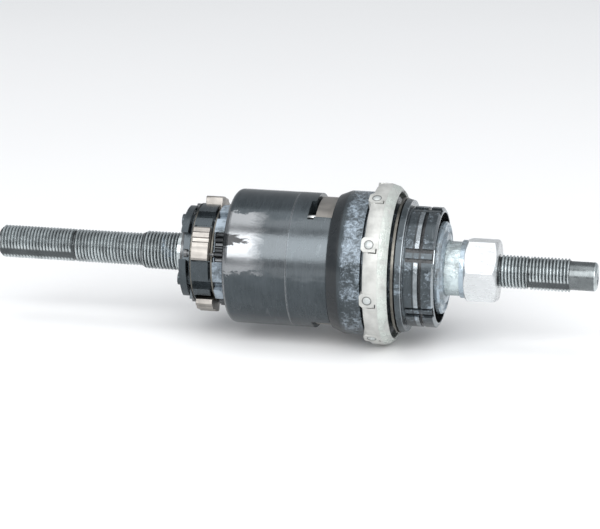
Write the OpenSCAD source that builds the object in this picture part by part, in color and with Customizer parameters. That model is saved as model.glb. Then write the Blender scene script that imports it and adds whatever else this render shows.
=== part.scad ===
// Internal unit of a three-speed geared bicycle hub.
// World frame: axle along Y, drive side towards -Y, +Z up, origin half way along the axle.
// Every piece is drawn with its axis on z, drive side up, and then laid down by along_axle().

/* [Axle] */
// Length of the whole axle
axle_len = 176; // [172:1:180]
// Radius of the axle thread at its crests
thread_r = 4.7625; // [4.7:0.0125:4.8]
// Radius of the thick thread that carries the left cone
cone_thread_r = 5.5; // [5.45:0.05:5.5]
// Distance from the axle's axis to each wrench flat
axle_flat = 4.17; // [4:0.01:4.5]
// Radius of the bore for the shift rod
rod_bore_r = 2.2; // [2:0.1:2.3]

/* [Gears] */
// Gear module
gear_module = 0.65; // [0.65:0.05:0.65]
// Teeth on the sun gear
sun_teeth = 16; // [16:4:16]
// Teeth on each planet gear
planet_teeth = 14; // [14:2:14]
// Pressure angle of the teeth
pressure_angle = 25; // [20:1:25]
// Thinning of each tooth flank for backlash, at the pitch circle
backlash = 0.05; // [0.04:0.01:0.07]

/* [Ring gear and drum] */
// Outer radius of the ring gear and of the pawl drum
ring_r = 19.4; // [19.3:0.1:19.6]
// Outer radius of the drum's flare
flare_r = 20.6; // [20.4:0.1:20.6]

/* [Carrier] */
// Outer radius of the carrier's pawl disc and flange
carrier_r = 14.5; // [14.3:0.1:14.6]
// Radius reached by the carrier pawls
pawl_r = 16.8; // [16.5:0.1:17]

/* [Bearings] */
// Radius of the bearing balls
ball_r = 2.38; // [2.3:0.02:2.38]
// Outer radius of the shell bearing's ball cage
cage_r = 23.1; // [23:0.1:23.3]
// Number of balls in each bearing
ball_count = 9; // [8:1:9]

/* [Driver] */
// Radius of the seat that the sprocket slides on
seat_r = 17.2; // [17.1:0.1:17.3]
// Number of axial slots in the sprocket seat
slot_count = 6; // [3:3:6]

/* [Cone and nut] */
// Outer radius of the right cone
cone_r = 8; // [7.9:0.1:8.2]
// Width across the flats of the lock nut
nut_af = 17; // [16:1:17]

/* [Hidden] */
$fn = 96;

// Colours
black = "#4a5358";
steel = "#b9bfc2";
zinc = "#d5dadb";
nickel = "#c9c2b6";
bronze = "#a08a72";

// A small amount by which a cut runs past the face that it opens
past = 1;
// Running clearance of a shaft in a bore, on the radius
run = 0.05;

// Gear geometry, all centred on the pitch circles
ring_teeth = sun_teeth + 2 * planet_teeth;
sun_pitch_r = gear_module * sun_teeth / 2;
planet_pitch_r = gear_module * planet_teeth / 2;
ring_pitch_r = gear_module * ring_teeth / 2;
planet_orbit_r = sun_pitch_r + planet_pitch_r;
addendum = 0.9 * gear_module;
dedendum = 1.1 * gear_module;

// Turn of the carrier about the axle: the direction of the first planet
planet_turn = 152.1;
// Direction in which the first carrier pawl's pocket opens
pocket_turn = 163.6;
// Direction of the first carrier rivet
rivet_turn = 203.6;
planet_count = 4;
quarter = 360 / planet_count;

// Stations along the axle, drive side positive
axle_end = axle_len / 2;
left_chamfer = 1.2;
left_tip_r = 3.6;
left_flat_z = -65.3;
left_thread_end = -44.5;
cone_thread_z = [-43.5, -33.3];
journal_r = 5.75;
clutch_journal_r = 5;
sun_z = [-20.2, -1.9];
thread_start_z = 36.5;
right_flat_z = 69;
tail_z = 80.3;
tail_r = 4.1;
tail_chamfer = 0.7;
// Relief grooves beside the flats and beside the lock nut
relief_r = 4.1;
relief_w = 0.6;
// Turn of the wrench flats at each end
left_flat_turn = 210;
right_flat_turn = 214;
// Wide bore for the key behind the bore for the shift rod
key_bore_r = 2.45;
key_bore_z = [-2.5, 24];

stop_washer_r = 7.2;
stop_washer_z = [-31.9, -30.9];
end_plate_r = 13.8;
end_plate_bore_r = 7.5;
end_plate_z = [-30.6, -28.5];
// Notches of the end plate beside the pawl pins: inner radius and width
notch_in_r = 9.2;
notch_w = 7.8;
notch_lag = 8;
disc_z = [-27.4, -21.8];
neck_r = 12.3;
hub_r = 8.8;
sun_bore_r = 6.2;
sun_bore_z = -20.45;
flange_z = [-20.6, -17.2];
cage_body_r = 13.3;
plate_z = [-1.6, 1.4];
planet_z = [-20, -2];
planet_pocket_r = 5.45;
planet_pocket_z = -20.3;
planet_pin_r = 1.5;
planet_pin_z = [-21.4, 0.8];

pawl_z = [-26.3, -21.4];
pawl_pin_r = 0.8;
// Place of the pawl's pin in its pocket: across, and out from the axle
pawl_pin_at = [-0.3, 13.1];
pawl_head_r = 1.2;
pawl_head_z = [-29.1, -28.1];
pawl_pin_end = -20.3;
pocket_x = [-2.5, 7.9];
pocket_floor = 11.1;
pocket_z = -26.6;
// The flange is open behind the pawl pockets outside this radius
flange_window_r = 12.9;

rivet_at = 11.8;
rivet_r = 0.9;
rivet_head_r = 1.9;
rivet_head = 0.7;
rivet_end = -16;
spacer_r = 1.7;

left_spring_z = [-27.2, -26.9];
left_spring_r = [13.95, 14.2];
right_spring_z = [-21.2, -20.75];
right_spring_r = [neck_r + run, 13.9];

ring_z = [-16.9, 2];
ring_round = 1.8;
spigot_r = 16.9;
spigot_z = -0.5;
// Chamfer on both sides of the seam between ring gear and drum
seam = 0.18;
drum_z = [2, 23.4];
drum_bore_r = 15.3;
flare_z = [13.5, 16.7];
drum_bearing_r = 18.3;
drum_bearing_z = 18;
window_z = [8, 13.7];
window_span = [50.6, 124.6];
// Notch beside each window's lower end
window_notch_z = 6.7;
window_notch_span = [103.6, 127.6];
drum_pawl_r = 18.4;
drum_pawl_wall = 2.5;
drum_pawl_z = [8.6, 13.4];
drum_pawl_tip = 53.5;
drum_pawl_heel = 123.2;
drum_pin_orbit_r = 16.9;
drum_pin_turn = 118.5;
drum_pin_r = 0.8;
drum_pin_z = [5.5, 16.5];
drum_spring_r = [15.3, 15.9];
drum_spring_z = [14.6, 15.2];

shell_orbit_r = 21;
shell_ball_z = 26;
shell_ball_turn = 110.6;
// Claws that hold the balls of the shell bearing
claw_w = 4.2;
claw_r = [20.4, 23.15];
claw_z = 23.8;
claw_round_r = 2.5;
// Slit round the lower outer corner of each claw
slit_w = 0.35;
slit_depth = 5;
cone_orbit_r = 10.4;
cone_ball_z = 38;
race_gap = 0.04;
cone_cage_r = [9.95, 12.55];
cone_cage_z = [39, 40.5];

// Driver, from the clutch sleeve to the outer end
sleeve_r = 14.9;
sleeve_z = 4;
sleeve_bore_r = 9;
dog_slot_w = 4.2;
dog_slot_r = 11.3;
drum_journal_z = [18.2, 23.7];
ball_flange_r = 19.6;
ball_flange_z = 30;
lip_seat_r = 17.5;
dust_lip_z = [31.9, 32.6];
dust_lip_r = 19.4;
driver_flange_z = [33, 34.7];
driver_flange_r = [19.2, 18.8];
seat_z = 35.4;
seat_relief_r = 16.6;
outer_flange_z = [43, 43.6];
outer_flange_tip_r = 16.3;
snap_groove_z = [39.2, 40.2];
snap_groove_r = 16.2;
slot_floor_r = 16.2;
slot_w = 4;
slot_turn = 153.6;
slot_z = [35.2, 44.4];
// Raised rib along the middle of each slot
rib_w = 1.6;
rib_r = 16.8;
cone_bore_r = 9.9;
cone_bore_z = 31;
cage_bore_r = 12.9;
end_bore_r = 15.8;
end_bore_z = 40.5;

clutch_z = [12.5, 22.5];
clutch_r = 8.5;
clutch_travel = 7;
clutch_socket_r = 6.9;
dog_r = 11;
dog_w = 3.9;
dog_h = 3.5;
key_h = 3;
key_w = 3;
key_half = 6.6;
key_z = clutch_z[0] + 4;
key_slot_w = 3.1;
key_slot_z = [key_z - clutch_travel - 0.3, key_z + key_h + 0.3];
seat_ring_z = [2, 2.8];
seat_ring_r = 6.6;

cone_body_z = [37.2, 49.5];
cone_shoulder_r = 9.6;
cone_shoulder_z = 44;
cone_flat = 7.25;
cone_flat_turn = 84.6;
cone_flat_z = 45.8;
washer_r = 8.3;
washer_z = [49.5, 50.8];
nut_z = [50.8, 60];
nut_turn = 50.2;
nut_corner_r = 10;
nut_face_r = 8.4;

// Lays a piece drawn on the z axis along the hub's axle
module along_axle() {
    rotate([90, 0, 0]) children();
}

// A cylinder between two stations
module disc(r, z) {
    translate([0, 0, z[0]]) cylinder(r = r, h = z[1] - z[0]);
}

// A tube between two stations
module tube(r_out, r_in, z) {
    difference() {
        disc(r_out, z);
        disc(r_in, [z[0] - past, z[1] + past]);
    }
}

// A cone frustum from station z[0] to z[1]
module taper(r_low, r_high, z) {
    translate([0, 0, z[0]]) cylinder(r1 = r_low, r2 = r_high, h = z[1] - z[0]);
}

// Children repeated at equal turns about the axle
module around(count, start = 0) {
    for (i = [0 : count - 1]) rotate(start + i * 360 / count) children();
}

// Sector of a ring between two angles, by a polygon with an arc
function arc_points(r, from, to, steps) =
    [for (i = [0 : steps]) let (a = from + (to - from) * i / steps) [r * cos(a), r * sin(a)]];

module sector(r_out, r_in, from, to, z) {
    translate([0, 0, z[0]]) linear_extrude(z[1] - z[0])
        polygon(concat(arc_points(r_out, from, to, 12), arc_points(r_in, to, from, 12)));
}

// Involute tooth flanks
function involute(a) = tan(a) * 180 / PI - a;
function flank_turn(r, pitch_r) =
    let (base_r = pitch_r * cos(pressure_angle))
    involute(pressure_angle) - involute(acos(min(1, base_r / max(r, base_r))));
function tooth_points(pitch_r, r_low, r_high, half, turn) =
    let (steps = 3)
    concat(
        [for (i = [0 : steps]) let (
            r = r_low + (r_high - r_low) * i / steps,
            a = turn - half - flank_turn(r, pitch_r)
        ) [r * cos(a), r * sin(a)]],
        [for (i = [steps : -1 : 0]) let (
            r = r_low + (r_high - r_low) * i / steps,
            a = turn + half + flank_turn(r, pitch_r)
        ) [r * cos(a), r * sin(a)]]
    );
function gear_points(teeth, pitch_r, r_low, r_high, thin, turn) =
    let (half = 90 / teeth - thin / pitch_r * 180 / PI)
    [for (i = [0 : teeth - 1])
        each tooth_points(pitch_r, r_low, r_high, half, turn + i * 360 / teeth)];

module gear_prism(teeth, pitch_r, r_low, r_high, thin, turn, z) {
    translate([0, 0, z[0]]) linear_extrude(z[1] - z[0])
        polygon(gear_points(teeth, pitch_r, r_low, r_high, thin, turn));
}

// Opposite flats cut on the axle, with their normal at an angle
module axle_flats(turn, z) {
    rotate(turn) for (side = [0, 180]) rotate(side)
        translate([axle_flat, -10, z[0]]) cube([10, 20, z[1] - z[0]]);
}

// Relief groove from a station on
module relief(z) {
    tube(cone_thread_r + past, relief_r, [z, z + relief_w]);
}

module axle() {
    left_chamfer_z = -axle_end + left_chamfer;
    tail_chamfer_z = axle_end - tail_chamfer;
    color(steel) along_axle() difference() {
        union() {
            taper(left_tip_r, thread_r, [-axle_end, left_chamfer_z]);
            disc(thread_r, [left_chamfer_z, left_thread_end]);
            taper(thread_r, cone_thread_r, [left_thread_end, cone_thread_z[0]]);
            disc(cone_thread_r, cone_thread_z);
            disc(journal_r, [cone_thread_z[1], sun_z[0]]);
            gear_prism(sun_teeth, sun_pitch_r, sun_pitch_r - dedendum, sun_pitch_r + addendum,
                backlash, planet_turn, sun_z);
            disc(clutch_journal_r, [sun_z[1], thread_start_z]);
            disc(thread_r, [thread_start_z, tail_z]);
            disc(tail_r, [tail_z, tail_chamfer_z]);
            taper(tail_r, tail_r - tail_chamfer, [tail_chamfer_z, axle_end]);
        }
        disc(rod_bore_r, [key_bore_z[1] - past, axle_end + past]);
        disc(key_bore_r, key_bore_z);
        translate([-10, -key_slot_w / 2, key_slot_z[0]])
            cube([20, key_slot_w, key_slot_z[1] - key_slot_z[0]]);
        axle_flats(left_flat_turn, [-axle_end - past, left_flat_z]);
        axle_flats(right_flat_turn, [right_flat_z, tail_z]);
        relief(left_flat_z);
        relief(nut_z[1]);
        relief(right_flat_z - relief_w);
    }
}

module stop_washer() {
    color(nickel) along_axle() tube(stop_washer_r, journal_r, stop_washer_z);
}

module carrier_end_plate() {
    color(black) along_axle() difference() {
        disc(end_plate_r, end_plate_z);
        disc(end_plate_bore_r, [end_plate_z[0] - past, end_plate_z[1] + past]);
        around(planet_count, pocket_turn - notch_lag)
            translate([notch_in_r, -notch_w / 2, end_plate_z[0] - past])
                cube([8, notch_w, end_plate_z[1] - end_plate_z[0] + 2 * past]);
        rivet_holes(0);
    }
}

// Holes round the carrier's rivets, wider by a clearance
module rivet_holes(clear) {
    around(planet_count, rivet_turn) translate([rivet_at, 0, 0])
        disc(rivet_r + clear, [end_plate_z[0] - past, rivet_end]);
}

// Holes round the pins of the carrier pawls, wider by a clearance
module pawl_pin_holes(clear) {
    around(planet_count, pocket_turn) translate([pawl_pin_at[1], -pawl_pin_at[0], 0])
        disc(pawl_pin_r + clear, [pawl_head_z[0] - past, pawl_pin_end + past]);
}

module carrier_rivets() {
    color(steel) along_axle() around(planet_count, rivet_turn) translate([rivet_at, 0, 0]) {
        disc(rivet_head_r, [end_plate_z[0] - rivet_head, end_plate_z[0]]);
        disc(rivet_r, [end_plate_z[0], flange_z[1]]);
    }
}

module planet_carrier() {
    pocket_w = pocket_x[1] - pocket_x[0];
    color(black) along_axle() difference() {
        union() {
            disc(hub_r, [end_plate_z[1], disc_z[0]]);
            around(planet_count, rivet_turn)
                translate([rivet_at, 0, 0]) disc(spacer_r, [end_plate_z[1], disc_z[0] + past]);
            disc(carrier_r, disc_z);
            disc(neck_r, [disc_z[1], flange_z[0]]);
            disc(carrier_r, flange_z);
            disc(cage_body_r, [flange_z[1], plate_z[1]]);
        }
        // Axle bore, and the wide bore round the sun gear
        disc(journal_r + run, [end_plate_z[0], sun_bore_z + run]);
        disc(sun_bore_r, [sun_bore_z, plate_z[1] + past]);
        // Planet pockets and pin holes
        around(planet_count, planet_turn) translate([planet_orbit_r, 0, 0]) {
            disc(planet_pocket_r, [planet_pocket_z, plate_z[0]]);
            disc(planet_pin_r, [planet_pin_z[0], plate_z[1] + past]);
        }
        // Pawl pockets and the windows in the flange behind them
        around(planet_count, pocket_turn) {
            translate([pocket_floor, -pocket_x[1], pocket_z])
                cube([8, pocket_w, disc_z[1] - pocket_z + past]);
            translate([flange_window_r, -pocket_x[1], flange_z[0] - past])
                cube([8, pocket_w, flange_z[1] - flange_z[0] + 2 * past]);
        }
        pawl_pin_holes(0);
        // Slots beside the rivets
        around(planet_count, rivet_turn)
            translate([rivet_at + 0.8, -1.5, disc_z[0] - past]) cube([5, 3, 12]);
        rivet_holes(0);
        // Groove of the left ring spring
        tube(carrier_r + past, left_spring_r[0] - run, [left_spring_z[0] - run, left_spring_z[1] + run]);
    }
}

module planet_pins() {
    color(steel) along_axle() around(planet_count, planet_turn)
        translate([planet_orbit_r, 0, 0]) disc(planet_pin_r, planet_pin_z);
}

// Planet gear i, meshed with the sun gear and the ring gear
module planet_gear(i) {
    turn = planet_turn + i * quarter;
    color(steel) along_axle() rotate(turn) translate([planet_orbit_r, 0, 0]) difference() {
        gear_prism(planet_teeth, planet_pitch_r, planet_pitch_r - dedendum,
            planet_pitch_r + addendum, backlash, 180 / planet_teeth, planet_z);
        disc(planet_pin_r + run, [planet_z[0] - past, planet_z[1] + past]);
    }
}
module planet_gear_1() { planet_gear(0); }
module planet_gear_2() { planet_gear(1); }
module planet_gear_3() { planet_gear(2); }
module planet_gear_4() { planet_gear(3); }

// Outer face of a carrier pawl as [across its pocket, step in from pawl_r]: ratchet steps, tip first
pawl_steps = [
    [-2.1, 0.4], [-1.6, 0.05], [1.3, 0.05], [1.5, 0.15], [3, 0.15], [3.2, 0.5], [4.3, 0.5],
    [4.5, -0.1], [5.9, -0.1], [6.1, 0.2], [7.2, 0.2], [7.5, 0.5]
];
pawl_underside = [[13.2, -7.5], [11.5, -1.2], [11.5, 0.6], [12.6, 2.1]];

module carrier_pawl(i) {
    outer = [for (p = pawl_steps) [sqrt(pow(pawl_r, 2) - pow(p[0], 2)) - p[1], -p[0]]];
    color(nickel) along_axle() rotate(pocket_turn + i * quarter) difference() {
        translate([0, 0, pawl_z[0]]) linear_extrude(pawl_z[1] - pawl_z[0])
            polygon(concat(outer, pawl_underside));
        translate([pawl_pin_at[1], -pawl_pin_at[0], 0])
            disc(pawl_pin_r + run, [pawl_z[0] - past, pawl_z[1] + past]);
    }
}
module carrier_pawl_1() { carrier_pawl(0); }
module carrier_pawl_2() { carrier_pawl(1); }
module carrier_pawl_3() { carrier_pawl(2); }
module carrier_pawl_4() { carrier_pawl(3); }

module carrier_pawl_pins() {
    color(nickel) along_axle() around(planet_count, pocket_turn)
        translate([pawl_pin_at[1], -pawl_pin_at[0], 0]) {
            disc(pawl_pin_r, [pawl_head_z[1], pawl_pin_end]);
            disc(pawl_head_r, pawl_head_z);
        }
}

module carrier_spring_left() {
    color(bronze) along_axle() tube(left_spring_r[1], left_spring_r[0], left_spring_z);
}

module carrier_spring_right() {
    color(bronze) along_axle() difference() {
        tube(right_spring_r[1], right_spring_r[0], right_spring_z);
        pawl_pin_holes(0.1);
        rivet_holes(0.1);
    }
}

module ring_gear() {
    color(black) along_axle() difference() {
        rotate_extrude() polygon(concat(
            [[sun_pitch_r, ring_z[0]]],
            [for (a = [-90 : 15 : 0])
                [ring_r - ring_round + ring_round * cos(a), ring_z[0] + ring_round * (1 + sin(a))]],
            [[ring_r, ring_z[1] - seam], [ring_r - seam, ring_z[1]], [sun_pitch_r, ring_z[1]]]
        ));
        disc(ring_pitch_r - addendum, [ring_z[0] - past, ring_z[1] + past]);
        gear_prism(ring_teeth, ring_pitch_r, ring_pitch_r - addendum - 0.3, ring_pitch_r + dedendum,
            -backlash, planet_turn + 180 / ring_teeth, [ring_z[0] - past, 0]);
        disc(spigot_r, [spigot_z, ring_z[1] + past]);
    }
}

module pawl_drum() {
    color(black) along_axle() difference() {
        union() {
            disc(spigot_r, [spigot_z, drum_z[0]]);
            taper(ring_r - seam, ring_r, [drum_z[0], drum_z[0] + seam]);
            disc(ring_r, [drum_z[0] + seam, flare_z[0]]);
            taper(ring_r - 0.1, flare_r, flare_z);
            disc(flare_r, [flare_z[1], drum_z[1]]);
        }
        disc(drum_bore_r, [spigot_z - past, drum_z[1] + past]);
        disc(drum_bearing_r + run, [drum_bearing_z, drum_z[1] + past]);
        around(2) {
            sector(25, 12, window_span[0], window_span[1], window_z);
            sector(25, 12, window_notch_span[0], window_notch_span[1],
                [window_notch_z, window_z[0] + 0.5]);
        }
        drum_pin_holes(0);
        // Groove of the ring spring
        disc(drum_spring_r[1] + run, [drum_spring_z[0] - 0.1, drum_spring_z[1] + 0.1]);
    }
}

// Holes round the pins of the drum pawls, wider by a clearance
module drum_pin_holes(clear) {
    around(2, drum_pin_turn) translate([drum_pin_orbit_r, 0, 0]) disc(drum_pin_r + clear, drum_pin_z);
}

module drum_pawl(i) {
    color(nickel) along_axle() rotate(i * 180) difference() {
        sector(drum_pawl_r, drum_pawl_r - drum_pawl_wall, drum_pawl_tip, drum_pawl_heel, drum_pawl_z);
        rotate(drum_pin_turn) translate([drum_pin_orbit_r, 0, 0]) disc(drum_pin_r + run, drum_pin_z);
    }
}
module drum_pawl_1() { drum_pawl(0); }
module drum_pawl_2() { drum_pawl(1); }

module drum_pawl_pins() {
    color(steel) along_axle() drum_pin_holes(0);
}

module drum_spring() {
    color(bronze) along_axle() difference() {
        tube(drum_spring_r[1], drum_spring_r[0], drum_spring_z);
        drum_pin_holes(0.1);
    }
}

// Places of the balls of a bearing, with spheres wider by a clearance
module balls(orbit_r, z, turn, clear) {
    around(ball_count, turn) translate([orbit_r, 0, z]) sphere(r = ball_r + clear, $fn = 32);
}

module shell_ball_cage() {
    color(zinc) along_axle() difference() {
        union() {
            rotate_extrude() polygon([
                [22.1, 24.6], [22.6, 24.6], [cage_r - 0.05, 25.3], [cage_r, 28.4], [cage_r - 0.5, 30],
                [21.3, 31.3], [20.9, 30.9], [21.9, 29.7], [22.3, 28.4], [22.3, 25.5]
            ]);
            around(ball_count, shell_ball_turn) intersection() {
                translate([claw_r[0], -claw_w / 2, claw_z]) cube([claw_r[1] - claw_r[0], claw_w, claw_w]);
                translate([claw_r[0] - past, 0, claw_z + claw_w / 2]) rotate([0, 90, 0])
                    cylinder(r = claw_round_r, h = claw_r[1] - claw_r[0] + 2 * past);
            }
        }
        around(ball_count, shell_ball_turn) {
            translate([claw_r[0], claw_w / 2, claw_z + claw_w / 2])
                cube([slit_depth, slit_w, claw_w / 2 + slit_w]);
            translate([claw_r[0], claw_w / 4, claw_z + claw_w])
                cube([slit_depth, claw_w / 4 + slit_w, slit_w]);
        }
        balls(shell_orbit_r, shell_ball_z, shell_ball_turn, race_gap);
    }
}

module shell_balls() {
    color(steel) along_axle() balls(shell_orbit_r, shell_ball_z, shell_ball_turn, 0);
}

// Groove of a ball race, as a ring with a round section
module race(orbit_r, z) {
    translate([0, 0, z]) rotate_extrude() translate([orbit_r, 0]) circle(r = ball_r + race_gap, $fn = 48);
}

module driver() {
    color(black) along_axle() difference() {
        union() {
            difference() {
                union() {
                    disc(sleeve_r, [sleeve_z, drum_journal_z[0]]);
                    disc(drum_bearing_r, drum_journal_z);
                    disc(ball_flange_r, [drum_journal_z[1], ball_flange_z]);
                    disc(lip_seat_r, [ball_flange_z, driver_flange_z[0]]);
                    taper(driver_flange_r[0], driver_flange_r[1], driver_flange_z);
                    disc(seat_relief_r, [driver_flange_z[1], seat_z]);
                    disc(seat_r, [seat_z, outer_flange_z[0]]);
                    taper(seat_r, outer_flange_tip_r, outer_flange_z);
                }
                // Snap ring groove and axial slots in the sprocket seat
                tube(seat_r + past, snap_groove_r, snap_groove_z);
                around(slot_count, slot_turn) translate([slot_floor_r, -slot_w / 2, slot_z[0]])
                    cube([seat_r, slot_w, slot_z[1] - slot_z[0]]);
            }
            around(slot_count, slot_turn) translate([end_bore_r - past, -rib_w / 2, seat_z])
                cube([rib_r - end_bore_r + past, rib_w, outer_flange_z[0] - seat_z]);
        }
        race(shell_orbit_r, shell_ball_z);
        race(cone_orbit_r, cone_ball_z);
        disc(sleeve_bore_r, [sleeve_z - past, cone_bore_z + past]);
        disc(cone_bore_r, [cone_bore_z, cone_ball_z]);
        disc(cage_bore_r, [cone_ball_z, end_bore_z + past]);
        disc(end_bore_r, [end_bore_z, outer_flange_z[1] + past]);
        // Slots in the sleeve for the clutch's dogs
        around(4) translate([0, -dog_slot_w / 2, sleeve_z - past])
            cube([dog_slot_r, dog_slot_w, clutch_z[0] + dog_h + past - sleeve_z + 1.3]);
    }
}

module driver_dust_lip() {
    color(bronze) along_axle() tube(dust_lip_r, lip_seat_r, dust_lip_z);
}

module clutch() {
    color(steel) along_axle() difference() {
        union() {
            disc(clutch_r, clutch_z);
            around(4) translate([0, -dog_w / 2, clutch_z[0]]) cube([dog_r, dog_w, dog_h]);
        }
        disc(clutch_journal_r + run, [clutch_z[0] - past, clutch_z[1] + past]);
        disc(clutch_socket_r, [key_z, clutch_z[1] + past]);
    }
}

// Closed coil of wire round z, as stacked rings joined by a thin sleeve
module coil(mean_r, wire_r, z, turns) {
    pitch = (z[1] - z[0] - 2 * wire_r) / (turns - 1);
    for (i = [0 : turns - 1]) translate([0, 0, z[0] + wire_r + i * pitch])
        rotate_extrude($fn = 48) translate([mean_r, 0]) circle(r = wire_r, $fn = 16);
    tube(mean_r + wire_r / 4, mean_r - wire_r / 4, [z[0] + wire_r, z[1] - wire_r], $fn = 48);
}

module clutch_spring() {
    color(steel) along_axle() coil(5.8, 0.35, [seat_ring_z[1], clutch_z[0]], 6);
}

module spring_seat() {
    color(steel) along_axle() tube(seat_ring_r, clutch_journal_r, seat_ring_z);
}

module axle_key() {
    color(steel) along_axle() difference() {
        translate([-key_half, -key_w / 2, key_z]) cube([2 * key_half, key_w, key_h]);
        disc(0.9, [key_z + key_h - 1, key_z + key_h + past]);
    }
}

module key_spring() {
    color(steel) along_axle() coil(1.6, 0.3, [key_bore_z[0], key_z], 12);
}

module cone_ball_cage() {
    color(steel) along_axle() difference() {
        tube(cone_cage_r[1], cone_cage_r[0], cone_cage_z);
        balls(cone_orbit_r, cone_ball_z, 0, race_gap);
    }
}

module cone_balls() {
    color(steel) along_axle() balls(cone_orbit_r, cone_ball_z, 0, 0);
}

module right_cone() {
    color(zinc) along_axle() difference() {
        union() {
            disc(cone_shoulder_r, [cone_body_z[0], cone_shoulder_z]);
            disc(cone_r, cone_body_z);
        }
        tube(30, 7.9, [cone_body_z[0] - past, cone_ball_z]);
        race(cone_orbit_r, cone_ball_z);
        disc(thread_r, [cone_body_z[0] - past, cone_body_z[1] + past]);
        // Two wrench flats
        for (side = [0, 180]) rotate(cone_flat_turn + side)
            translate([cone_flat, -10, cone_flat_z]) cube([5, 20, 10]);
    }
}

// Pressed ring with a raised rim and a raised inner collar
module cone_dust_seal() {
    color(steel) along_axle() rotate_extrude() polygon([
        [cone_r + run, cone_shoulder_z + run], [cone_shoulder_r + run, cone_shoulder_z + run],
        [cone_shoulder_r + run, 43.2], [13.2, 43.2], [13.2, 44.2], [12.8, 44.8], [12.3, 44.8],
        [11.9, 44.35], [10.5, 44.35], [10, 45.2], [cone_r + run, 45.4]
    ]);
}

module keyed_washer() {
    color(steel) along_axle() tube(washer_r, thread_r, washer_z);
}

module lock_nut() {
    color(zinc) along_axle() difference() {
        intersection() {
            rotate(nut_turn) disc_hex(nut_z);
            union() {
                taper(nut_face_r, nut_corner_r, [nut_z[0], nut_z[0] + 1]);
                disc(nut_corner_r, [nut_z[0] + 1, nut_z[1] - 1]);
                taper(nut_corner_r, nut_face_r, [nut_z[1] - 1, nut_z[1]]);
            }
        }
        disc(thread_r, [nut_z[0] - past, nut_z[1] + past]);
    }
}

// Hexagonal prism of the nut's width
module disc_hex(z) {
    translate([0, 0, z[0]]) cylinder(r = nut_af / 2 / cos(30), h = z[1] - z[0], $fn = 6);
}

axle();
stop_washer();
carrier_end_plate();
carrier_rivets();
planet_carrier();
planet_pins();
planet_gear_1();
planet_gear_2();
planet_gear_3();
planet_gear_4();
carrier_pawl_1();
carrier_pawl_2();
carrier_pawl_3();
carrier_pawl_4();
carrier_pawl_pins();
carrier_spring_left();
carrier_spring_right();
ring_gear();
pawl_drum();
drum_pawl_1();
drum_pawl_2();
drum_pawl_pins();
drum_spring();
shell_ball_cage();
shell_balls();
driver();
driver_dust_lip();
clutch();
clutch_spring();
spring_seat();
axle_key();
key_spring();
cone_ball_cage();
cone_balls();
cone_dust_seal();
right_cone();
keyed_washer();
lock_nut();
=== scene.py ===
"""Bicycle hub gear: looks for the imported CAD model.

Lengths are in metres. A hub point is given as (x, y, z): x forward, y up and z along the axle
towards the driver, in millimetres, and world() turns it into the row frame.
"""
import math

import bmesh
import bpy
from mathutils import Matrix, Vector

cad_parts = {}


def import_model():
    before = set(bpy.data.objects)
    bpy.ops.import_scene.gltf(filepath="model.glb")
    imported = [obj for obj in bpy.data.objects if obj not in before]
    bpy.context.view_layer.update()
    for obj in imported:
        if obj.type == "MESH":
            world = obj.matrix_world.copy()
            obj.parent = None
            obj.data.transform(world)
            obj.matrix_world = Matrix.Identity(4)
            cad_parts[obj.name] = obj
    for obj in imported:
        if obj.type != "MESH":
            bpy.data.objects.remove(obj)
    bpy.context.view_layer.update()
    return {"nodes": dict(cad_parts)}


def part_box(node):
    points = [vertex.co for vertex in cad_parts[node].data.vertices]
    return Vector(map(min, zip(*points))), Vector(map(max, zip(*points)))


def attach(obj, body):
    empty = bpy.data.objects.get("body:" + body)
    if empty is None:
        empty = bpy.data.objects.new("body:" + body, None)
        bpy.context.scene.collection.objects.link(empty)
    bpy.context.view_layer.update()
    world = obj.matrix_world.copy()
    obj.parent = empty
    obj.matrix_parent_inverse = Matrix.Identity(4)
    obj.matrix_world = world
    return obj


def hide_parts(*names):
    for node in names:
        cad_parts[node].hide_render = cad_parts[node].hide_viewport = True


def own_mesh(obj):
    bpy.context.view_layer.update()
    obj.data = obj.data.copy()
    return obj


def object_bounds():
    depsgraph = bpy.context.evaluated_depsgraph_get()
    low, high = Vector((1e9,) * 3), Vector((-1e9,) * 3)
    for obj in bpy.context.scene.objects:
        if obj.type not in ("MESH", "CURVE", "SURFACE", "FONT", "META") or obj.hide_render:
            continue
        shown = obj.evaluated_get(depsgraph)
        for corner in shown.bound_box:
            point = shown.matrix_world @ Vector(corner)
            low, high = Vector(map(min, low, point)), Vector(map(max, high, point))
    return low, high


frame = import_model()

MM = 0.001
TURN = 2 * math.pi
SHARP = math.radians(32)

# Stations along the axle, taken from the CAD boxes, in millimetres towards the driver


def span(node):
    """Lowest and highest station of a CAD node along the axle."""
    low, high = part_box(node)
    return -high.y / MM, -low.y / MM


AXLE = span("axle")
NUT = span("lock_nut")


def world(x, y, z):
    return Vector((x * MM, -z * MM, y * MM))


def polar(r, turn, z):
    a = math.radians(turn)
    return world(r * math.cos(a), r * math.sin(a), z)


# Mesh helpers


def sharpen(bm):
    """Smooth shading with sharp edges where faces meet at a steep angle."""
    for face in bm.faces:
        face.smooth = True
    for edge in bm.edges:
        edge.smooth = len(edge.link_faces) == 2 and edge.calc_face_angle(0) < SHARP


def piece_from(bm, name, body, material, replaces=()):
    """Turns a bmesh in the row frame into a shown piece."""
    bmesh.ops.recalc_face_normals(bm, faces=bm.faces)
    sharpen(bm)
    mesh = bpy.data.meshes.new(name)
    bm.to_mesh(mesh)
    bm.free()
    piece = bpy.data.objects.new(name, mesh)
    bpy.context.scene.collection.objects.link(piece)
    mesh.materials.append(material)
    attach(piece, body)
    if replaces:
        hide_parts(*replaces)
    return piece


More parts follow.
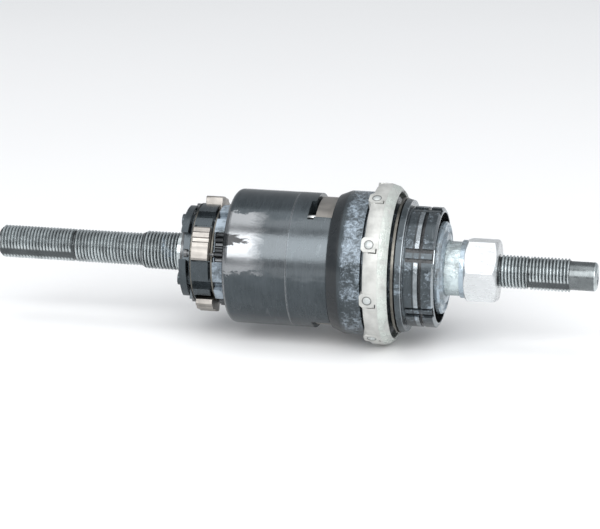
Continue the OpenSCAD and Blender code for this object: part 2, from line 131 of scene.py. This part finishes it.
def add_grid(bm, rows, close_rows=False):
    """Joins rows of points, each a closed loop, with quads; the first and last are capped."""
    loops = [[bm.verts.new(p) for p in row] for row in rows]
    count = len(rows[0])
    pairs = list(zip(loops, loops[1:]))
    if close_rows:
        pairs.append((loops[-1], loops[0]))
    for low, high in pairs:
        for i in range(count):
            j = (i + 1) % count
            bm.faces.new((low[i], low[j], high[j], high[i]))
    if not close_rows:
        bm.faces.new(loops[0][::-1])
        bm.faces.new(loops[-1])


def add_lathe(bm, profile, segments):
    """Revolves a closed outline of (radius, station) points about the axle."""
    rows = []
    for r, z in profile:
        rows.append([polar(r, 360 * i / segments, z) for i in range(segments)])
    add_grid(bm, rows, close_rows=True)


def add_thread(bm, r_major, pitch, start, end, depth, limit, bore=None, segments=72):
    """A threaded rod from start to end. limit(station, turn) is the largest radius there."""
    phases = [(0.0, 1.0), (0.1, 1.0), (0.2, 0.8), (0.42, 0.06), (0.5, 0.0), (0.58, 0.06), (0.8, 0.8)]
    per = len(phases)
    turns = int((end - start) / pitch) + 3
    columns = []
    for a in range(segments):
        column = []
        for row in range(turns * per + per + 1):
            phase, height = phases[row % per]
            z = start + (row // per + phase + a / segments - 2) * pitch
            r = r_major - depth * (1 - height)
            if z <= start or z >= end:
                z = min(max(z, start), end)
                r = r_major - depth
            turn = 360 * a / segments
            column.append(bm.verts.new(polar(min(r, limit(z, turn)), turn, z)))
        columns.append(column)
    count = turns * per
    for a in range(segments):
        last = a == segments - 1
        right = columns[0] if last else columns[a + 1]
        shift = per if last else 0
        for i in range(count):
            corners = (columns[a][i], right[i + shift], right[i + 1 + shift], columns[a][i + 1])
            bm.faces.new(corners)
    low = [columns[a][0] for a in range(segments)]
    high = [columns[a][count] for a in range(segments)]
    if bore is None:
        bm.faces.new(low[::-1])
        bm.faces.new(high)
        return
    inner_low = [bm.verts.new(polar(bore, 360 * a / segments, start)) for a in range(segments)]
    inner_high = [bm.verts.new(polar(bore, 360 * a / segments, end)) for a in range(segments)]
    for a in range(segments):
        b = (a + 1) % segments
        bm.faces.new((low[b], low[a], inner_low[a], inner_low[b]))
        bm.faces.new((inner_low[b], inner_low[a], inner_high[a], inner_high[b]))
        bm.faces.new((high[a], high[b], inner_high[b], inner_high[a]))


def add_wire(bm, path, radius, sides=10):
    """A round wire along a path of points with flat ends."""
    rows = []
    for i, point in enumerate(path):
        ahead = path[min(i + 1, len(path) - 1)] - path[max(i - 1, 0)]
        out = ahead.cross(Vector((point.x, 0, point.z))).normalized()
        up = ahead.cross(out).normalized()
        rows.append([
            point + (out * math.cos(TURN * s / sides) + up * math.sin(TURN * s / sides)) * radius
            for s in range(sides)
        ])
    add_grid(bm, rows)


def cad_copy(node):
    """The CAD node's mesh, welded."""
    bm = bmesh.new()
    bm.from_mesh(frame["nodes"][node].data)
    bmesh.ops.remove_doubles(bm, verts=bm.verts, dist=1e-6)
    return bm


def add_bevel(piece, width, segments=2, angle=35):
    bevel = piece.modifiers.new("edge rounding", "BEVEL")
    bevel.width = width * MM
    bevel.segments = segments
    bevel.limit_method = "ANGLE"
    bevel.angle_limit = math.radians(angle)
    bevel.use_clamp_overlap = True
    bevel.harden_normals = False
    return piece


def refined(node, body, material, bevel=0.15, segments=2):
    """A CAD node's shape with rounded edges."""
    bm = cad_copy(node)
    bmesh.ops.dissolve_limit(bm, angle_limit=math.radians(1), verts=bm.verts, edges=bm.edges)
    piece = piece_from(bm, node + "_finished", body, material, [node])
    return add_bevel(piece, bevel, segments)


# Material helpers


class Nodes:
    """A short way to write a material's node tree."""

    def __init__(self, name):
        self.material = bpy.data.materials.new(name)
        self.material.use_nodes = True
        self.tree = self.material.node_tree
        self.shader = self.tree.nodes["Principled BSDF"]
        self.coords = self.tree.nodes.new("ShaderNodeTexCoord").outputs["Object"]

    def link(self, a, b):
        self.tree.links.new(a, b)

    def set(self, **values):
        for key, value in values.items():
            self.shader.inputs[key.replace("_", " ")].default_value = value

    def make(self, kind, inputs=(), **settings):
        node = self.tree.nodes.new(kind)
        for key, value in settings.items():
            setattr(node, key, value)
        for key, value in dict(inputs).items():
            if isinstance(value, bpy.types.NodeSocket):
                self.link(value, node.inputs[key])
            else:
                node.inputs[key].default_value = value
        return node

    def scaled(self, x, y, z):
        """Object coordinates stretched: x forward, y along the axle, z up."""
        mapping = self.make("ShaderNodeMapping", {"Vector": self.coords, "Scale": (x, y, z)})
        return mapping.outputs["Vector"]

    def noise(self, scale, detail=4, rough=0.55, vector=None, distortion=0.0):
        node = self.make("ShaderNodeTexNoise", {
            "Vector": vector or self.coords, "Scale": scale, "Detail": detail,
            "Roughness": rough, "Distortion": distortion})
        return node.outputs["Fac"]

    def ramp(self, value, stops):
        node = self.make("ShaderNodeValToRGB", {"Fac": value})
        ramp = node.color_ramp
        while len(ramp.elements) < len(stops):
            ramp.elements.new(0.5)
        for element, (at, colour) in zip(ramp.elements, stops):
            element.position = at
            element.color = (*colour, 1) if isinstance(colour, tuple) else (colour,) * 3 + (1,)
        return node.outputs["Color"]

    def math(self, operation, a, b=0.0, clamp=False):
        node = self.make("ShaderNodeMath", operation=operation, use_clamp=clamp)
        for socket, value in zip(node.inputs, (a, b)):
            if isinstance(value, bpy.types.NodeSocket):
                self.link(value, socket)
            else:
                socket.default_value = value
        return node.outputs["Value"]

    def mix(self, factor, a, b):
        node = self.make("ShaderNodeMix", data_type="RGBA")
        for index, value in ((0, factor), (6, a), (7, b)):
            socket = node.inputs[index]
            if isinstance(value, bpy.types.NodeSocket):
                self.link(value, socket)
            elif isinstance(value, tuple):
                socket.default_value = (*value, 1)
            else:
                socket.default_value = value
        return node.outputs[2]

    def station(self):
        """Station along the axle towards the driver, in millimetres."""
        parts = self.make("ShaderNodeSeparateXYZ", {"Vector": self.coords})
        return self.math("MULTIPLY", parts.outputs["Y"], -1 / MM)

    def radius(self):
        """Distance from the axle's axis, in millimetres."""
        parts = self.make("ShaderNodeSeparateXYZ", {"Vector": self.coords})
        square = self.math("ADD", self.math("POWER", self.math("ABSOLUTE", parts.outputs["X"]), 2.0),
                           self.math("POWER", self.math("ABSOLUTE", parts.outputs["Z"]), 2.0))
        return self.math("MULTIPLY", self.math("SQRT", square), 1 / MM)

    def turn(self, centre):
        """Turn round the axle from a polar angle of the CAD, in degrees from -180 to 180."""
        c, d = math.cos(math.radians(centre)), math.sin(math.radians(centre))
        parts = self.make("ShaderNodeSeparateXYZ", {"Vector": self.coords})
        x, z = parts.outputs["X"], parts.outputs["Z"]
        across = self.math("SUBTRACT", self.math("MULTIPLY", z, c), self.math("MULTIPLY", x, d))
        along = self.math("ADD", self.math("MULTIPLY", x, c), self.math("MULTIPLY", z, d))
        return self.math("MULTIPLY", self.math("ARCTAN2", across, along), 180 / math.pi)

    def window(self, value, low, high, soft):
        """1 between two limits, falling to 0 at them over a soft width."""
        rise = self.math("DIVIDE", self.math("SUBTRACT", value, low), soft, clamp=True)
        fall = self.math("DIVIDE", self.math("SUBTRACT", high, value), soft, clamp=True)
        return self.math("MULTIPLY", rise, fall)

    def band(self, low, high, soft):
        """1 between two stations, falling to 0 at them over a soft width."""
        return self.window(self.station(), low, high, soft)

    def bump(self, height, strength):
        node = self.make("ShaderNodeBump", {"Height": height, "Strength": strength, "Distance": 0.0002})
        self.link(node.outputs["Normal"], self.shader.inputs["Normal"])


GREASE = (0.50, 0.60, 0.70)
# Polar angle of the side of the gear drum that carries the painted reflection and painted sheen, in degrees
SHEEN_SIDE = 163.6
# Middle of the painted dark streak inside the painted reflection, in degrees from that side, and the
# station where it runs out
STREAK_TURN = -12
STREAK_END = -8.5
# First ball of the shell bearing, the angle between balls' middles halved, and its claws' radius
SHELL_BALL_TURN = 110.6
SHELL_BALL_HALF_STEP = 20
SHELL_BALL_STATION = 26
CLAW_R = 23.15
# Sprocket seat of the driver: anything below this radius is a slot's bar or floor
SEAT_INNER_R = 17.0
SLOT_FLOOR_R = 16.5


def grease_mask(n, amount, where=None, fine_scale=700, fine_share=0.45):
    """Smeared grease from 0 to 1: fine streaks and specks, gathered in patches."""
    patch = n.noise(170, 3, 0.6, distortion=0.5)
    fine = n.noise(fine_scale, 6, 0.75, n.scaled(1, 0.8, 1), 0.8)
    level = n.math("ADD", n.math("MULTIPLY", patch, 1 - fine_share), n.math("MULTIPLY", fine, fine_share))
    if where is not None:
        level = n.math("ADD", level, n.math("MULTIPLY", n.math("SUBTRACT", where, 1), 0.6))
    return n.math("MULTIPLY", n.math("SUBTRACT", level, 1 - amount), 6, clamp=True)


def black_oxide(name, grease=0.0, where=None, sheen_and_bright_marks=None, rough=0.24, dark=None, specks=(700, 0.45),
                bright=(0.34, 0.37, 0.39)):
    """Semi-gloss black oxide over turned steel, oily and scuffed; one mask brightens it (bright edges and
    bands, painted reflection, painted sheen), another darkens it (painted shade, a painted dark streak,
    oil).
    """
    n = Nodes(name)
    cloud = n.noise(90, 5, 0.6)
    fine = n.noise(1500, 3, 0.5, n.scaled(1, 0.25, 1))
    streak = n.noise(420, 4, 0.6, n.scaled(0.35, 2.2, 0.35), 0.8)
    colour = n.ramp(cloud, [(0.25, (0.040, 0.050, 0.056)), (0.75, (0.070, 0.084, 0.094))])
    colour = n.mix(n.ramp(streak, [(0.62, 0.0), (0.72, 0.4)]), colour, (0.15, 0.165, 0.175))
    roughness = n.ramp(cloud, [(0.3, rough * 0.75), (0.7, rough * 1.35)])
    metallic = n.ramp(streak, [(0.4, 0.55), (0.75, 0.8)])
    height = n.math("ADD", n.math("MULTIPLY", fine, 0.25), n.math("MULTIPLY", cloud, 0.8))
    if sheen_and_bright_marks is not None:
        mask = sheen_and_bright_marks(n)
        colour = n.mix(mask, colour, bright)
        metallic = n.mix(mask, metallic, (1.0, 1.0, 1.0))
    if grease:
        mask = grease_mask(n, grease, where(n) if where else None, *specks)
        colour = n.mix(n.math("MULTIPLY", mask, 0.55), colour, GREASE)
        roughness = n.mix(mask, roughness, (0.20, 0.20, 0.20))
        metallic = n.mix(mask, metallic, (0.1, 0.1, 0.1))
        height = n.math("ADD", height, n.math("MULTIPLY", mask, 1.4))
    if dark is not None:
        mask = dark(n)
        colour = n.mix(mask, colour, (0.012, 0.014, 0.016))
        metallic = n.mix(mask, metallic, (0.2, 0.2, 0.2))
    n.link(colour, n.shader.inputs["Base Color"])
    n.link(roughness, n.shader.inputs["Roughness"])
    n.link(metallic, n.shader.inputs["Metallic"])
    n.bump(height, 0.22)
    return n.material


def sheen(n, low, high, strength):
    """Painted sheen: a faint painted reflection along one side of the gear drum."""
    ragged = n.math("MULTIPLY", n.math("SUBTRACT", n.noise(160, 5, 0.7, n.scaled(1, 0.3, 1)), 0.5), 40)
    sweep = n.window(n.math("ADD", n.turn(SHEEN_SIDE), ragged), -35, 18, 5)
    return n.math("MULTIPLY", n.math("MULTIPLY", sweep, n.band(low - 2, high + 2, 2)), strength)


def ragged_sheen_and_edge_noise(n):
    """Fine noise, and the same as degrees that push the edges of the painted reflection and its painted
    dark streak to and fro; the noise also breaks up the bright end edge.
    """
    noise = n.noise(380, 6, 0.75, n.scaled(0.9, 0.35, 0.9), 1.0)
    return noise, n.math("MULTIPLY", n.math("SUBTRACT", noise, 0.5), 26)


def painted_dark_streak(n):
    """Painted dark streak: a ragged dark stripe painted into the painted reflection at the open end of the
    ring gear, narrower along the ring.
    """
    _, ragged = ragged_sheen_and_edge_noise(n)
    half_width = n.math("MULTIPLY", n.math("SUBTRACT", STREAK_END, n.station()), 1.05)
    across = n.math("SUBTRACT", n.turn(SHEEN_SIDE), STREAK_TURN)
    off = n.math("ABSOLUTE", n.math("ADD", across, ragged))
    return n.math("MULTIPLY", n.math("SUBTRACT", half_width, off), 0.8, clamp=True)


def reflection_and_bright_edges(n):
    """Bright marks of the ring gear: a mirror-like painted reflection with painted sheen on one side of its
    open end, a bright end edge and a bright seam.
    """
    noise, ragged = ragged_sheen_and_edge_noise(n)
    # Painted reflection: the mirror-like zone covers these turns from the sheen side
    sweep = n.window(n.math("ADD", n.turn(SHEEN_SIDE), ragged), -40, 15.5, 1.5)
    reach = n.window(n.math("ADD", n.station(), n.math("MULTIPLY", ragged, 0.4)), -21.3, -4, 5)
    zone = n.math("MULTIPLY", n.math("MULTIPLY", sweep, reach), 0.9)
    edge = n.math("MULTIPLY", n.band(-17.5, -15.8, 0.4), n.ramp(noise, [(0.38, 0.15), (0.55, 0.75)]))
    seam = n.math("MULTIPLY", n.band(1.75, 2.2, 0.1), 0.9)
    sheen_and_bright_marks = n.math("MAXIMUM", zone, sheen(n, -15, 2, 0.15))
    return n.math("MAXIMUM", n.math("MAXIMUM", sheen_and_bright_marks, edge), seam)


def drum_seam_and_sheen(n):
    """Bright seam against the ring gear, and the painted sheen carried on along the drum."""
    return n.math("MAXIMUM", n.math("MULTIPLY", n.band(1.9, 2.25, 0.1), 0.9), sheen(n, 2, 13, 0.12))


def driver_bright_bands(n):
    """Bright bands beside the snap ring groove, on the outer rim and at the flange."""
    groove = n.math("MULTIPLY", n.band(38.0, 39.2, 0.08), n.ramp(n.noise(260), [(0.35, 0.45), (0.6, 0.95)]))
    seat = n.math("MULTIPLY", n.math("SUBTRACT", n.radius(), SEAT_INNER_R), 10, clamp=True)
    groove = n.math("MULTIPLY", groove, seat)
    rim = n.band(43.0, 43.75, 0.1)
    flange = n.math("MULTIPLY", n.band(34.45, 34.85, 0.1), 0.7)
    return n.math("MAXIMUM", n.math("MAXIMUM", groove, rim), flange)


def slot_shade_and_oil(n):
    """Painted shade with some oil on the floors of the slots, and painted shade in the grooves beside the
    bright groove band.
    """
    deep = n.math("MULTIPLY", n.math("SUBTRACT", SLOT_FLOOR_R, n.radius()), 8, clamp=True)
    floor = n.math("MULTIPLY", n.band(35.3, 43.4, 0.05), deep)
    lines = n.math("MAXIMUM", n.band(37.45, 37.85, 0.06), n.band(39.25, 39.9, 0.06))
    return n.math("MAXIMUM", floor, n.math("MULTIPLY", lines, 0.8))


def bright_metal(name, base, rough, grease=0.0, where=None, metallic=1.0, dirt=0.25, grain=(1, 0.2, 1),
                 film=(0.74, 0.80, 0.80), dark=None, bump=0.2):
    """Plated or ground steel with brushing, dirt and smeared grease."""
    n = Nodes(name)
    cloud = n.noise(230, 5, 0.6)
    brush = n.noise(1100, 3, 0.5, n.scaled(*grain))
    dull = tuple(c * (1 - dirt) for c in base)
    colour = n.ramp(cloud, [(0.3, dull), (0.6, base)])
    roughness = n.ramp(brush, [(0.3, rough * 0.75), (0.7, rough * 1.3)])
    height = n.math("ADD", n.math("MULTIPLY", brush, 0.5), n.math("MULTIPLY", cloud, 0.5))
    if dark is not None:
        colour = n.mix(dark(n), colour, (0.035, 0.040, 0.043))
    if grease:
        mask = grease_mask(n, grease, where(n) if where else None)
        colour = n.mix(n.math("MULTIPLY", mask, 0.7), colour, film)
        roughness = n.mix(mask, roughness, (0.25, 0.25, 0.25))
        height = n.math("ADD", height, n.math("MULTIPLY", mask, 1.6))
    n.link(colour, n.shader.inputs["Base Color"])
    n.link(roughness, n.shader.inputs["Roughness"])
    n.set(Metallic=metallic)
    n.bump(height, bump)
    return n.material


def dark_roots_and_tail(n):
    """Darker thread roots, and the dark unplated tail with a clean chamfer."""
    r = n.radius()
    thin = n.math("MULTIPLY", n.math("SUBTRACT", 4.48, r), 5, clamp=True)
    thick = n.math("MULTIPLY", n.math("SUBTRACT", 5.30, r), 5, clamp=True)
    right = n.math("MULTIPLY", thin, n.band(40, 80.4, 0.1))
    left = n.math("MAXIMUM", n.math("MULTIPLY", thin, n.band(-90, -44.5, 0.3)),
                  n.math("MULTIPLY", thick, n.band(-44.6, -33.2, 0.3)))
    tail = n.math("MULTIPLY", n.band(80.25, 87.25, 0.1), 0.72)
    roots = n.math("MULTIPLY", n.math("MAXIMUM", left, right), 0.9)
    return n.math("MAXIMUM", roots, tail)


def cage_bevel(n):
    """The sloping outer side of the ball cage."""
    return n.band(28.3, 32, 0.5)


def ball_gap_shade(n):
    """Painted shade: a dark ring round each ball where it stands out of its claw, for the shadow in the
    gap.
    """
    arc = n.math("MULTIPLY", n.math("PINGPONG", n.turn(SHELL_BALL_TURN), SHELL_BALL_HALF_STEP),
                 math.radians(CLAW_R))
    along = n.math("SUBTRACT", n.station(), SHELL_BALL_STATION)
    square = n.math("ADD", n.math("MULTIPLY", arc, arc), n.math("MULTIPLY", along, along))
    return n.math("MULTIPLY", n.window(n.math("SQRT", square), 0.95, 1.45, 0.14), 0.75)


AXLE_STEEL = bright_metal("axle_steel", (0.56, 0.61, 0.62), 0.27, 0.5, lambda n: n.band(-42, -30, 4),
                          metallic=0.9, dirt=0.45, grain=(1, 1, 1), film=(0.40, 0.48, 0.55),
                          dark=dark_roots_and_tail)
BRIGHT_STEEL = bright_metal("bright_steel", (0.50, 0.51, 0.51), 0.25, dirt=0.4)
# Planet gears: oily steel, darkened well below the other steel to paint the shade they sit in behind the
# carrier window
OILY_GEAR_PAINTED_SHADE = bright_metal("oily_gear_painted_shade", (0.09, 0.095, 0.10), 0.33, dirt=0.5)
OILED_STEEL = bright_metal("oiled_steel", (0.16, 0.165, 0.17), 0.36, 0.42, metallic=0.8, dirt=0.5,
                           film=GREASE)
GREASED_BALL = bright_metal("greased_ball", (0.45, 0.46, 0.45), 0.45, 0.6, metallic=0.3, dirt=0.3,
                            film=(0.52, 0.56, 0.56))
NICKEL = bright_metal("satin_nickel", (0.37, 0.35, 0.325), 0.40, dirt=0.3, grain=(1, 0.08, 1))
BRONZE = bright_metal("dull_bronze", (0.19, 0.182, 0.162), 0.36, dirt=0.45)
ZINC = bright_metal("bright_zinc", (0.64, 0.66, 0.67), 0.30, 0.42, metallic=0.55, dirt=0.12)
# Ball cage: a painted shade ring round each ball
GREASED_CAGE = bright_metal("greased_cage", (0.52, 0.525, 0.505), 0.5, 0.60, cage_bevel, metallic=0.3,
                            dirt=0.3, film=(0.54, 0.60, 0.56), dark=ball_gap_shade, bump=0.5)
GREASED_CONE = bright_metal("greased_cone", (0.46, 0.52, 0.53), 0.28, 0.58, metallic=0.6, dirt=0.5,
                            film=(0.66, 0.76, 0.78), bump=0.5)
SEAL = bright_metal("seal_grey", (0.22, 0.24, 0.25), 0.34, 0.64, metallic=0.7, dirt=0.5,
                    film=(0.46, 0.56, 0.64), bump=0.4)
# Ring gear: painted reflection and painted sheen on one side, crossed by a painted dark streak, with a
# bright end edge and seam
BLACK_RING = black_oxide("black_ring", sheen_and_bright_marks=reflection_and_bright_edges, rough=0.2, dark=painted_dark_streak,
                         bright=(0.29, 0.30, 0.31))
# Gear drum: the dark band from station 13.3 to 17.2, on the step before the flare, is painted shade
BLACK_DRUM = black_oxide("black_drum", 0.54, lambda n: n.band(13.2, 62, 5), drum_seam_and_sheen,
                         dark=lambda n: n.math("MULTIPLY", n.band(13.3, 17.2, 0.5), 0.85),
                         specks=(1300, 0.62), bright=(0.38, 0.41, 0.43))
BLACK_CARRIER = black_oxide("black_carrier", 0.62, lambda n: n.band(-21.2, -10, 0.6))
BLACK_RIVET = black_oxide("black_rivet", 0.45)
BLACK_END = black_oxide("black_end_plate", 0.40)
# Driver: painted shade with some oil in its slots and grooves
BLACK_DRIVER = black_oxide("black_driver", 0.47, sheen_and_bright_marks=driver_bright_bands, dark=slot_shade_and_oil,
                           specks=(1000, 0.6))

# Axle: real threads on the parts that show, and the CAD shape between them

THREAD_R = 4.7625
THREAD_PITCH = 25.4 / 26
THREAD_DEPTH = 0.52
CONE_THREAD_R = 5.5
CONE_THREAD_PITCH = 1.0
FLAT = 4.17
BORE_R = 2.2
LEFT_FLATS_END = -65.3
RIGHT_FLATS = (69, 80.3)
TAIL_START = 80.3
MIDDLE = (-33.32, 36.6)
# Relief grooves: radius and width
RELIEF = (4.1, 0.6)
# A radius larger than any part of the axle, where nothing cuts it
UNCUT = 99


def flat_limit(turn, normal):
    """Radius at which a pair of opposite flats cuts the rod."""
    c = abs(math.cos(math.radians(turn - normal)))
    return FLAT / max(c, 1e-6)


def relief_limit(z, start):
    """Radius of the relief groove that begins at a station."""
    return RELIEF[0] if start <= z <= start + RELIEF[1] else UNCUT


def left_limit(z, turn):
    chamfer = 3.7 + (z - AXLE[0]) * 1.0
    flats = flat_limit(turn, 210) if z < LEFT_FLATS_END else UNCUT
    return min(chamfer, flats, relief_limit(z, LEFT_FLATS_END))


def thick_limit(z, turn):
    return min(UNCUT, 4.9 + max(0, z + 44.4) * 0.55)


def right_limit(z, turn):
    flats = flat_limit(turn, 214) if z > RIGHT_FLATS[0] else UNCUT
    return min(flats, relief_limit(z, NUT[1]), relief_limit(z, RIGHT_FLATS[0] - RELIEF[1]))


def build_axle():
    """The CAD axle between its threads, with real threads and a bored tail put on."""
    bm = cad_copy("axle")
    for station, keep in ((MIDDLE[0], 1), (MIDDLE[1], -1)):
        geometry = bm.verts[:] + bm.edges[:] + bm.faces[:]
        bmesh.ops.bisect_plane(bm, geom=geometry, plane_co=world(0, 0, station),
                               plane_no=(0, keep, 0), clear_outer=True, dist=1e-7)
        edges = [e for e in bm.edges if e.is_boundary]
        bmesh.ops.holes_fill(bm, edges=edges)
    add_thread(bm, THREAD_R, THREAD_PITCH, AXLE[0], -44.3, THREAD_DEPTH, left_limit)
    add_thread(bm, CONE_THREAD_R, CONE_THREAD_PITCH, -44.4, -33.3, THREAD_DEPTH, thick_limit)
    add_thread(bm, THREAD_R, THREAD_PITCH, MIDDLE[1] - 0.1, TAIL_START, THREAD_DEPTH, right_limit, BORE_R)
    add_lathe(bm, [(BORE_R, TAIL_START - 0.05), (4.1, TAIL_START - 0.05), (4.12, 84), (4.1, AXLE[1] - 0.75),
                   (3.95, AXLE[1] - 0.45), (3.35, AXLE[1] - 0.02), (3.2, AXLE[1]), (2.45, AXLE[1]),
                   (BORE_R, AXLE[1] - 0.3)], 72)
    bmesh.ops.dissolve_degenerate(bm, edges=bm.edges, dist=1e-7)
    return piece_from(bm, "threaded_axle", "axle", AXLE_STEEL, ["axle"])


# Balls, springs


def build_balls(node, body, material):
    """Smooth balls in the places of the CAD balls."""
    source = cad_copy(node)
    seen = set()
    bm = bmesh.new()
    for vert in source.verts:
        if vert in seen:
            continue
        island, stack = [], [vert]
        seen.add(vert)
        while stack:
            v = stack.pop()
            island.append(v.co)
            for edge in v.link_edges:
                other = edge.other_vert(v)
                if other not in seen:
                    seen.add(other)
                    stack.append(other)
        low = Vector([min(c[k] for c in island) for k in range(3)])
        high = Vector([max(c[k] for c in island) for k in range(3)])
        ball = bmesh.ops.create_uvsphere(bm, u_segments=48, v_segments=28,
                                         radius=(high.x - low.x) / 2 * 0.999)
        bmesh.ops.translate(bm, vec=(low + high) / 2, verts=ball["verts"])
    source.free()
    return piece_from(bm, node + "_round", body, material, [node])


def build_coil(node, mean_r, wire_r, turns):
    """A helical spring in the place of a CAD spring, its coils squeezed towards its left end."""
    start, end = span(node)
    steps = int(turns * 40)
    path = []
    for i in range(steps + 1):
        t = i / steps
        dead = 1 / turns
        rise = min(max((t - dead) / (1 - 2 * dead), 0), 1)
        z = start + wire_r + (end - start - 2 * wire_r) * (rise * 0.86 + t * 0.14)
        path.append(polar(mean_r, 360 * turns * t, z))
    bm = bmesh.new()
    add_wire(bm, path, wire_r * MM)
    coil = piece_from(bm, node + "_helix", "axle", BRIGHT_STEEL, [node])
    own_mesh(coil)
    return coil


# Assembly

build_axle()
build_balls("shell_balls", "shell_bearing", GREASED_BALL)
build_balls("cone_balls", "cone_bearing", GREASED_BALL)
build_coil("clutch_spring", 5.8, 0.34, 6)
build_coil("key_spring", 1.6, 0.29, 12)

FINISH = {
    "planet_carrier": ("carrier", "black_oxide", BLACK_CARRIER, 0.18),
    "carrier_end_plate": ("carrier", "black_oxide", BLACK_END, 0.3),
    "ring_gear": ("ring", "black_oxide", BLACK_RING, 0.0),
    "pawl_drum": ("ring", "black_oxide", BLACK_DRUM, 0.12),
    "driver": ("driver", "black_oxide", BLACK_DRIVER, 0.15),
    "shell_ball_cage": ("shell_bearing", "bright_zinc", GREASED_CAGE, 0.4),
    "right_cone": ("axle", "bright_zinc", GREASED_CONE, 0.2),
    "lock_nut": ("axle", "bright_zinc", ZINC, 0.3),
    "cone_dust_seal": ("axle", "seal_steel", SEAL, 0.15),
}
for index in range(1, 5):
    FINISH[f"carrier_pawl_{index}"] = (f"pawl_{index}", "nickel", NICKEL, 0.12)
for index, letter in enumerate("ab", 1):
    FINISH[f"drum_pawl_{index}"] = (f"drum_pawl_{letter}", "nickel", NICKEL, 0.15)

PLAIN = {
    "stop_washer": OILED_STEEL, "carrier_rivets": BLACK_RIVET, "planet_pins": OILED_STEEL,
    "carrier_pawl_pins": OILED_STEEL, "carrier_spring_left": BRONZE, "carrier_spring_right": BRONZE,
    "drum_pawl_pins": BRIGHT_STEEL, "drum_spring": BRONZE, "driver_dust_lip": BRONZE,
    "clutch": BRIGHT_STEEL, "spring_seat": BRIGHT_STEEL, "axle_key": BRIGHT_STEEL,
    "cone_ball_cage": BRIGHT_STEEL, "keyed_washer": SEAL,
    "planet_gear_1": OILY_GEAR_PAINTED_SHADE, "planet_gear_2": OILY_GEAR_PAINTED_SHADE,
    "planet_gear_3": OILY_GEAR_PAINTED_SHADE, "planet_gear_4": OILY_GEAR_PAINTED_SHADE,
}

for node, (body, slot, material, bevel) in FINISH.items():
    if bevel:
        refined(node, body, material, bevel)
    else:
        PLAIN[node] = material
for node, material in PLAIN.items():
    mesh = frame["nodes"][node].data
    mesh.materials.clear()
    mesh.materials.append(material)

# Stage: pale floor, soft light, camera

LENS = 155.5
DISTANCE = 0.748
AZIMUTH = math.radians(282.3)
ELEVATION = math.radians(16.4)
TARGET = world(0, 0, 2.04)
SHIFT = -5.7 / 600


def build_floor():
    """A plain pale floor just under the object."""
    low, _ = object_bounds()
    mesh = bpy.data.meshes.new("floor")
    half = 4
    z = low[2] - 0.0002
    mesh.from_pydata([(-half, -half, z), (half, -half, z), (half, half, z), (-half, half, z)], [],
                     [(0, 1, 2, 3)])
    floor = bpy.data.objects.new("floor", mesh)
    bpy.context.scene.collection.objects.link(floor)
    n = Nodes("floor_white")
    n.link(n.ramp(n.noise(3), [(0.3, 0.90), (0.7, 0.92)]), n.shader.inputs["Base Color"])
    n.set(Roughness=0.9, Specular_IOR_Level=0.1)
    mesh.materials.append(n.material)


def build_camera():
    """The photo's view: its direction, distance and lens."""
    # Azimuth 0 looks along +Y with +X to the right; the camera stands opposite
    look = Vector((-math.sin(AZIMUTH) * math.cos(ELEVATION), math.cos(AZIMUTH) * math.cos(ELEVATION),
                   -math.sin(ELEVATION)))
    data = bpy.data.cameras.new("camera")
    data.lens = LENS
    data.sensor_width = 36
    data.shift_y = SHIFT
    camera = bpy.data.objects.new("camera", data)
    camera.location = TARGET - look * DISTANCE
    camera.rotation_euler = look.to_track_quat("-Z", "Y").to_euler()
    bpy.context.scene.collection.objects.link(camera)
    bpy.context.scene.camera = camera


def area_light(name, azimuth, elevation, distance, size, power):
    """A soft box that faces the object from an azimuth of its own, in degrees."""
    a, e = math.radians(azimuth), math.radians(elevation)
    place = Vector((math.sin(a) * math.cos(e), -math.cos(a) * math.cos(e), math.sin(e))) * distance
    data = bpy.data.lights.new(name, "AREA")
    data.shape = "RECTANGLE"
    data.size, data.size_y = size
    data.energy = power
    light = bpy.data.objects.new(name, data)
    light.location = place
    light.rotation_euler = (-place).to_track_quat("-Z", "Y").to_euler()
    bpy.context.scene.collection.objects.link(light)


build_floor()
build_camera()
area_light("front_box", 282, 36, 1.2, (1.7, 0.95), 20)
area_light("top_box", 262, 84, 1.3, (1.2, 0.8), 4.5)
scene_world = bpy.data.worlds.new("studio")
scene_world.use_nodes = True
scene_world.node_tree.nodes["Background"].inputs["Color"].default_value = (0.93, 0.96, 1.0, 1)
scene_world.node_tree.nodes["Background"].inputs["Strength"].default_value = 0.48
bpy.context.scene.world = scene_world
bpy.context.scene.view_settings.view_transform = "Standard"
